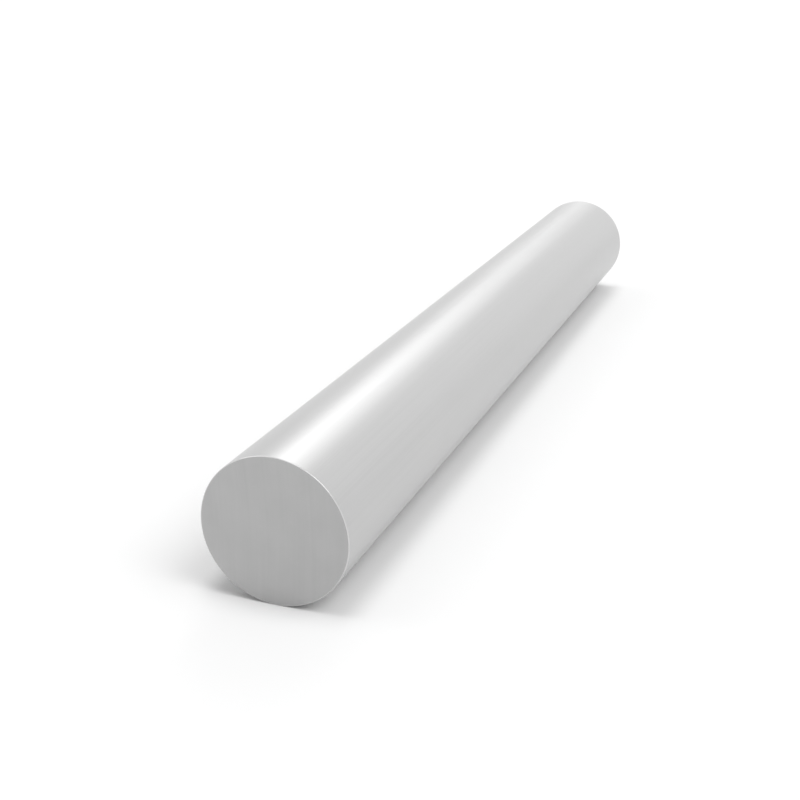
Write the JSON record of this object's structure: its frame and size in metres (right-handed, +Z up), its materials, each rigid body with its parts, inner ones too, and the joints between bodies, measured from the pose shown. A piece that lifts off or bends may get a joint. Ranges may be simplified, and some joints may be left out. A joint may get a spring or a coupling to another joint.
{
  "type": "aluminium round bar",
  "caption": "Solid round aluminium bar stock in a smooth satin mill finish, cut square at both ends with the edges lightly broken.",
  "frame": {"origin": "on the floor under the middle of the bar, where the line of contact crosses the mid-length", "axes": "+X along the bar's length, +Y across it, +Z up; the bar lies on its side"},
  "size_m": [0.25, 0.03, 0.03],
  "materials": {
    "aluminium": "satin mill finish, with fine lines along the length and a duller sawn grain on the cut ends"
  },
  "bodies": {
    "root": {"round_bar": "aluminium"}
  },
  "joints": []
}
